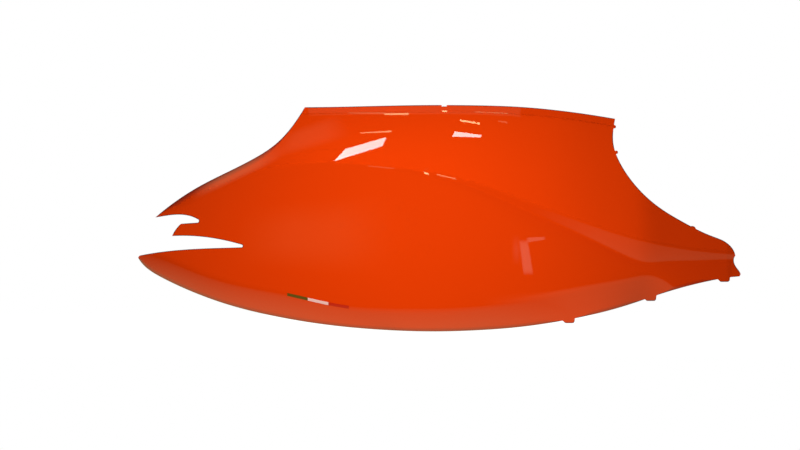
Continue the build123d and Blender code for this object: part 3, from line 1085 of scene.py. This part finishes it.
SOFT_LAMPS = (
    SoftLamp("key_lamp", (-0.184, -0.712, -0.111), BODY_MIDDLE, 0.3, 8.5),
    SoftLamp("fill_lamp", (0.126, -0.295, -0.057), BODY_MIDDLE, 0.3, 0.4),
    SoftLamp("front_lamp", (0.52, -0.2, -0.2), (0.36, -0.03, -0.19), 0.2, 0.42),
    SoftLamp("top_lamp", (0.004, 0.001, 0.535), BODY_MIDDLE, 0.3, 7.7),
    SoftLamp("back_lamp", (0.3, 1.4, 0.9), (0.0, 0.0, -0.1), 0.9, 2.0),
)

DAYLIGHT: Colour = (1.0, 1.0, 1.0)
LAMPLIGHT: Colour = (1.0, 1.0, 0.5)
WINDOWLIGHT: Colour = (1.0, 1.0, 0.73)
WALL_TINT: Colour = (1.0, 1.0, 0.35)


@dataclass(frozen=True)
class Highlight:
    """Place on the skin at which a lit panel of the studio is mirrored.

    Its corners (x, z) on the skin, in millimetres, are the foot's two and then the head's two, from
    tail to front and back. The panel stands off the skin by the distance, along the mirrored rays. Its
    light falls off to nothing over the soft share of its width and of its height, at each side.
    """

    name: str
    corners: tuple[tuple[float, float], ...]
    radiance: float
    colour: Colour = LAMPLIGHT
    soft: float = 0.0
    distance: float = 8.0
    steps: int = 12

    def places(self) -> tuple[Array, Array]:
        """Places (x, z) over the highlight, row by row, and their shares (u, v) across and up it."""
        share = np.linspace(0, 1, self.steps)
        v, u = (part.reshape(-1, 1) for part in np.meshgrid(share, share, indexing="ij"))
        foot_tail, foot_front, head_front, head_tail = (np.array(corner) for corner in self.corners)
        foot = foot_tail + u * (foot_front - foot_tail)
        head = head_tail + u * (head_front - head_tail)
        return foot + v * (head - foot), np.concatenate([u, v], axis=1)

    def light(self, shares: Array) -> Array:
        """Share of the full light at each place, from its shares across and up the highlight."""
        if not self.soft:
            return np.ones(len(shares))
        return np.clip(np.minimum(shares, 1 - shares) / self.soft, 0, 1).prod(axis=1)

    def set_up(self, form: SkinForm, eye: Vector) -> None:
        """Makes the lit panel, where the eye's rays go when the skin turns them back.

        Args:
            form: The skin.
            eye: The camera's place, in metres.
        """
        places, shares = self.places()
        points, normals = form.layer(places[:, 0], places[:, 1])
        points = points * MM
        rays = unit(points - np.array(eye))
        mirrored = rays - 2 * (rays * normals).sum(axis=1, keepdims=True) * normals
        corner = np.arange(self.steps - 1)
        start = (corner[:, None] * self.steps + corner[None]).reshape(-1, 1)
        faces = start + np.array([0, 1, self.steps + 1, self.steps])
        mesh = bpy.data.meshes.new(self.name)
        mesh.from_pydata((points + mirrored * self.distance * MM).tolist(), [], faces.tolist())
        spread = mesh.attributes.new("spread", "FLOAT", "POINT")
        spread.data.foreach_set("value", self.light(shares).astype(np.float32))
        material = bpy.data.materials.new(self.name)
        sheet = NodeSheet(material)
        share = sheet.add("ShaderNodeAttribute", output="Fac", attribute_name="spread")
        clear = sheet.add("ShaderNodeBsdfTransparent")
        glow = sheet.add("ShaderNodeEmission", {"Color": (*self.colour, 1.0), "Strength": self.radiance})
        surface = sheet.add("ShaderNodeMixShader", {0: share, 1: clear, 2: glow})
        sheet.add("ShaderNodeOutputMaterial", {"Surface": surface})
        mesh.materials.append(material)
        panel = placed(self.name, mesh)
        panel.visible_camera = False
        panel.visible_diffuse = False
        panel.visible_shadow = False


# Distances of the lit panels from the skin along the lip and along the upper line, in millimetres
LIP_GAP = 0.6
CREASE_GAP = 0.8

HIGHLIGHTS = (
    Highlight("left_lamp", ((-137.2, -60.7), (-74.8, -41.2), (-69.8, -29.5), (-122.9, -44.9)), 16.0,
              DAYLIGHT),
    Highlight("left_slit", ((-103.0, -24.6), (-63.2, -22.9), (-63.2, -20.8), (-103.0, -23.6)), 7.0),
    Highlight("right_lamp", ((15.6, -28.7), (52.6, -29.9), (53.8, -26.5), (19.0, -22.1)), 16.0, DAYLIGHT),
    Highlight("right_slit", ((25.6, -8.8), (51.2, -13.1), (51.2, -10.5), (25.6, -6.5)), 12.0),
    Highlight("far_slit", ((75.4, -9.9), (87.1, -11.2), (87.1, -9.1), (75.4, -7.8)), 1.5),
    Highlight("lip_band_rear", ((-170.0, 1.4), (-30.0, 2.2), (-30.0, 11.6), (-172.0, 9.0)), 0.4),
    Highlight("lip_band", ((-30.0, 2.2), (104.0, 0.4), (104.0, 9.4), (-30.0, 11.6)), 0.4),
    Highlight("lip_left", ((-119.6, 1.3), (-72.3, 0.9), (-72.3, 2.5), (-119.6, 2.6)), 2.0, distance=LIP_GAP),
    Highlight("lip_middle", ((-72.3, -0.8), (-41.1, -0.4), (-41.1, 1.9), (-72.3, 1.5)), 8.0,
              distance=LIP_GAP),
    Highlight("lip_dash", ((2.9, 3.2), (9.0, 3.2), (9.0, 5.3), (2.9, 5.3)), 12.0, distance=LIP_GAP),
    Highlight("lip_right", ((44.6, 2.9), (87.8, 0.9), (87.8, 2.4), (44.6, 4.2)), 2.6, distance=LIP_GAP),
    Highlight("crease_left", ((-93.0, -67.7), (-59.8, -71.0), (-59.8, -69.4), (-93.0, -66.2)), 1.2,
              distance=CREASE_GAP),
    Highlight("crease_dash", ((-21.3, -76.8), (-14.7, -78.5), (-14.7, -76.2), (-21.3, -74.6)), 14.0,
              distance=CREASE_GAP),
    Highlight("crease_right", ((-4.3, -78.8), (20.5, -84.6), (20.5, -83.0), (-4.3, -77.1)), 4.5,
              distance=CREASE_GAP),
    Highlight("window_edge", ((107.3, -208.3), (121.2, -208.3), (113.5, -162.0), (101.2, -162.0)), 1.35,
              WINDOWLIGHT, 0.12, 6.0),
    Highlight("window_head", ((111.0, -166.4), (136.5, -162.4), (136.5, -158.3), (111.0, -159.2)), 1.3,
              WINDOWLIGHT, 0.12, 6.4),
    Highlight("window_side", ((92.0, -196.0), (106.0, -196.0), (104.0, -155.0), (92.0, -155.0)), 0.4,
              WINDOWLIGHT, 0.45, 6.8),
    Highlight("wall", ((-280.0, -195.0), (-57.2, -215.0), (-62.4, -100.0), (-252.2, -117.0)), 0.28,
              WALL_TINT, 0.35),
    Highlight("tail_edge", ((-322.0, -114.0), (-200.0, -56.0), (-206.0, -32.0), (-322.0, -93.0)), 0.85,
              soft=0.3, distance=3.0),
    Highlight("cove_glow", ((-228.8, -62.0), (-110.0, -30.0), (-130.0, 4.0), (-205.0, -24.0)), 0.4,
              soft=0.3, distance=3.5),
)


@dataclass(frozen=True)
class PaleFloor:
    """Pale floor that looks white from above, and keeps the panel's shadow.

    The paint mirrors only its lit strip, close to the panel, which goes on more faintly and wider
    towards the front. The floor's height is in millimetres, and its other lengths are in metres.
    """

    height: float = -281.5
    side: float = 6.0
    colour: Colour = (0.8, 0.8, 0.8)
    shadow_radius: float = 0.6
    shadow_share: float = 0.25
    glow: float = 1.12
    bounce: float = 0.36
    near_bounce: float = 0.4
    near_edge: float = 0.1
    near_run: float = 0.06
    near_end: float = 0.27
    near_tail: float = 0.35
    plan_reach: float = 0.092
    plan_bend: float = 0.493
    plan_place: float = 0.01
    strip_colour: Colour = LAMPLIGHT
    strip_radiance: float = 0.95
    strip_fade: float = 0.5
    strip_edge: float = 0.035
    strip_run: float = 0.06
    front_radiance: float = 0.52
    front_edge: float = 0.125
    front_run: float = 0.07
    front_place: float = 0.06
    front_change: float = 0.12

    def set_up(self) -> None:
        """Makes the floor."""
        half = self.side / 2
        corners = [(-half, -half), (half, -half), (half, half), (-half, half)]
        mesh = bpy.data.meshes.new("floor")
        mesh.from_pydata([(x, y, self.height * MM) for x, y in corners], [], [(0, 1, 2, 3)])
        material = bpy.data.materials.new("pale_floor")
        sheet = NodeSheet(material)
        place = sheet.add("ShaderNodeTexCoord", output="Object")
        far = sheet.add("ShaderNodeVectorMath", {0: place}, output="Value", operation="LENGTH")
        near = (1.0 - far * (1 / self.shadow_radius)).clipped()
        x = sheet.add("ShaderNodeSeparateXYZ", {0: place}, output="X")
        y = sheet.add("ShaderNodeSeparateXYZ", {0: place}, output="Y")
        along = x - self.plan_place
        ahead = 0.0 - y - (self.plan_reach - along * along * self.plan_bend)
        front = ((x - self.front_place) * (1 / self.front_change)).clipped()
        strip = ahead.falling(self.strip_edge, self.strip_run) * self.strip_radiance
        front_strip = ahead.falling(self.front_edge, self.front_run) * front * self.front_radiance
        lit = front_strip.maths("MAXIMUM", strip * (1.0 - front * self.strip_fade), front_strip)
        close = ahead.falling(self.near_edge, self.near_run) * x.falling(self.near_end, self.near_run)
        bounced = close * (front * (1 - self.near_tail) + self.near_tail) * self.near_bounce + self.bounce
        camera = sheet.add("ShaderNodeLightPath", output="Is Camera Ray")
        glossy = sheet.add("ShaderNodeLightPath", output="Is Glossy Ray")
        diffuse = sheet.add("ShaderNodeLightPath", output="Is Diffuse Ray")
        matt = sheet.add("ShaderNodeBsdfDiffuse", {"Color": (*self.colour, 1.0)})
        strength = camera * self.glow + glossy * lit + diffuse * bounced
        colour = sheet.blend(glossy, DAYLIGHT, self.strip_colour)
        glow = sheet.add("ShaderNodeEmission", {"Color": colour, "Strength": strength})
        share = camera * (1.0 - near * self.shadow_share) + glossy + diffuse
        surface = sheet.add("ShaderNodeMixShader", {0: share.clipped(), 1: matt, 2: glow})
        sheet.add("ShaderNodeOutputMaterial", {"Surface": surface})
        mesh.materials.append(material)
        placed("floor", mesh)


@dataclass(frozen=True)
class Room:
    """World round the panel: even light, white to the camera, and dark where the paint mirrors it."""

    ambient: float = 0.18
    mirrored: float = 0.004

    def set_up(self) -> None:
        """Makes the scene's world."""
        world = bpy.data.worlds.new("room")
        sheet = NodeSheet(world)
        camera = sheet.add("ShaderNodeLightPath", output="Is Camera Ray")
        glossy = sheet.add("ShaderNodeLightPath", output="Is Glossy Ray")
        strength = self.ambient + glossy * (self.mirrored - self.ambient)
        strength = strength + camera * (1.0 - strength)
        light = sheet.add("ShaderNodeBackground", {"Color": (*DAYLIGHT, 1.0), "Strength": strength})
        sheet.add("ShaderNodeOutputWorld", {"Surface": light})
        bpy.context.scene.world = world


def light_studio(form: SkinForm, camera: StudioCamera) -> None:
    """Sets the room, the floor, the soft lamps and the lamps that the paint mirrors."""
    Room().set_up()
    PaleFloor().set_up()
    for lamp in SOFT_LAMPS:
        lamp.set_up()
    for highlight in HIGHLIGHTS:
        highlight.set_up(form, camera.place)


def main() -> None:
    """Builds and dresses the panel, and sets the studio round it."""
    logging.basicConfig(level=logging.INFO, format="%(name)s: %(message)s")
    bpy.context.scene.view_settings.view_transform = "Standard"
    form = SkinForm()

    shell = joined([TrimmedSkin(form, EdgeFeatures()).shell(), SeatEars(form).shell()])
    skin = shell.piece("painted_moulding", SprayedPaint("orange_paint", ORANGE).material())
    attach(skin, "root")
    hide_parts("side_panel")
    LOG.info("painted_moulding: %d triangles", len(shell.faces))

    for field in Field:
        foil = PrintedFoil(field.name, field.value).material()
        node = bpy.data.objects[field.name]
        for slot in node.material_slots:
            slot.material = foil
        LOG.info("%s: dressed", field.name)

    camera = StudioCamera()
    camera.set_up()
    light_studio(form, camera)


if __name__ == "__main__":
    main()
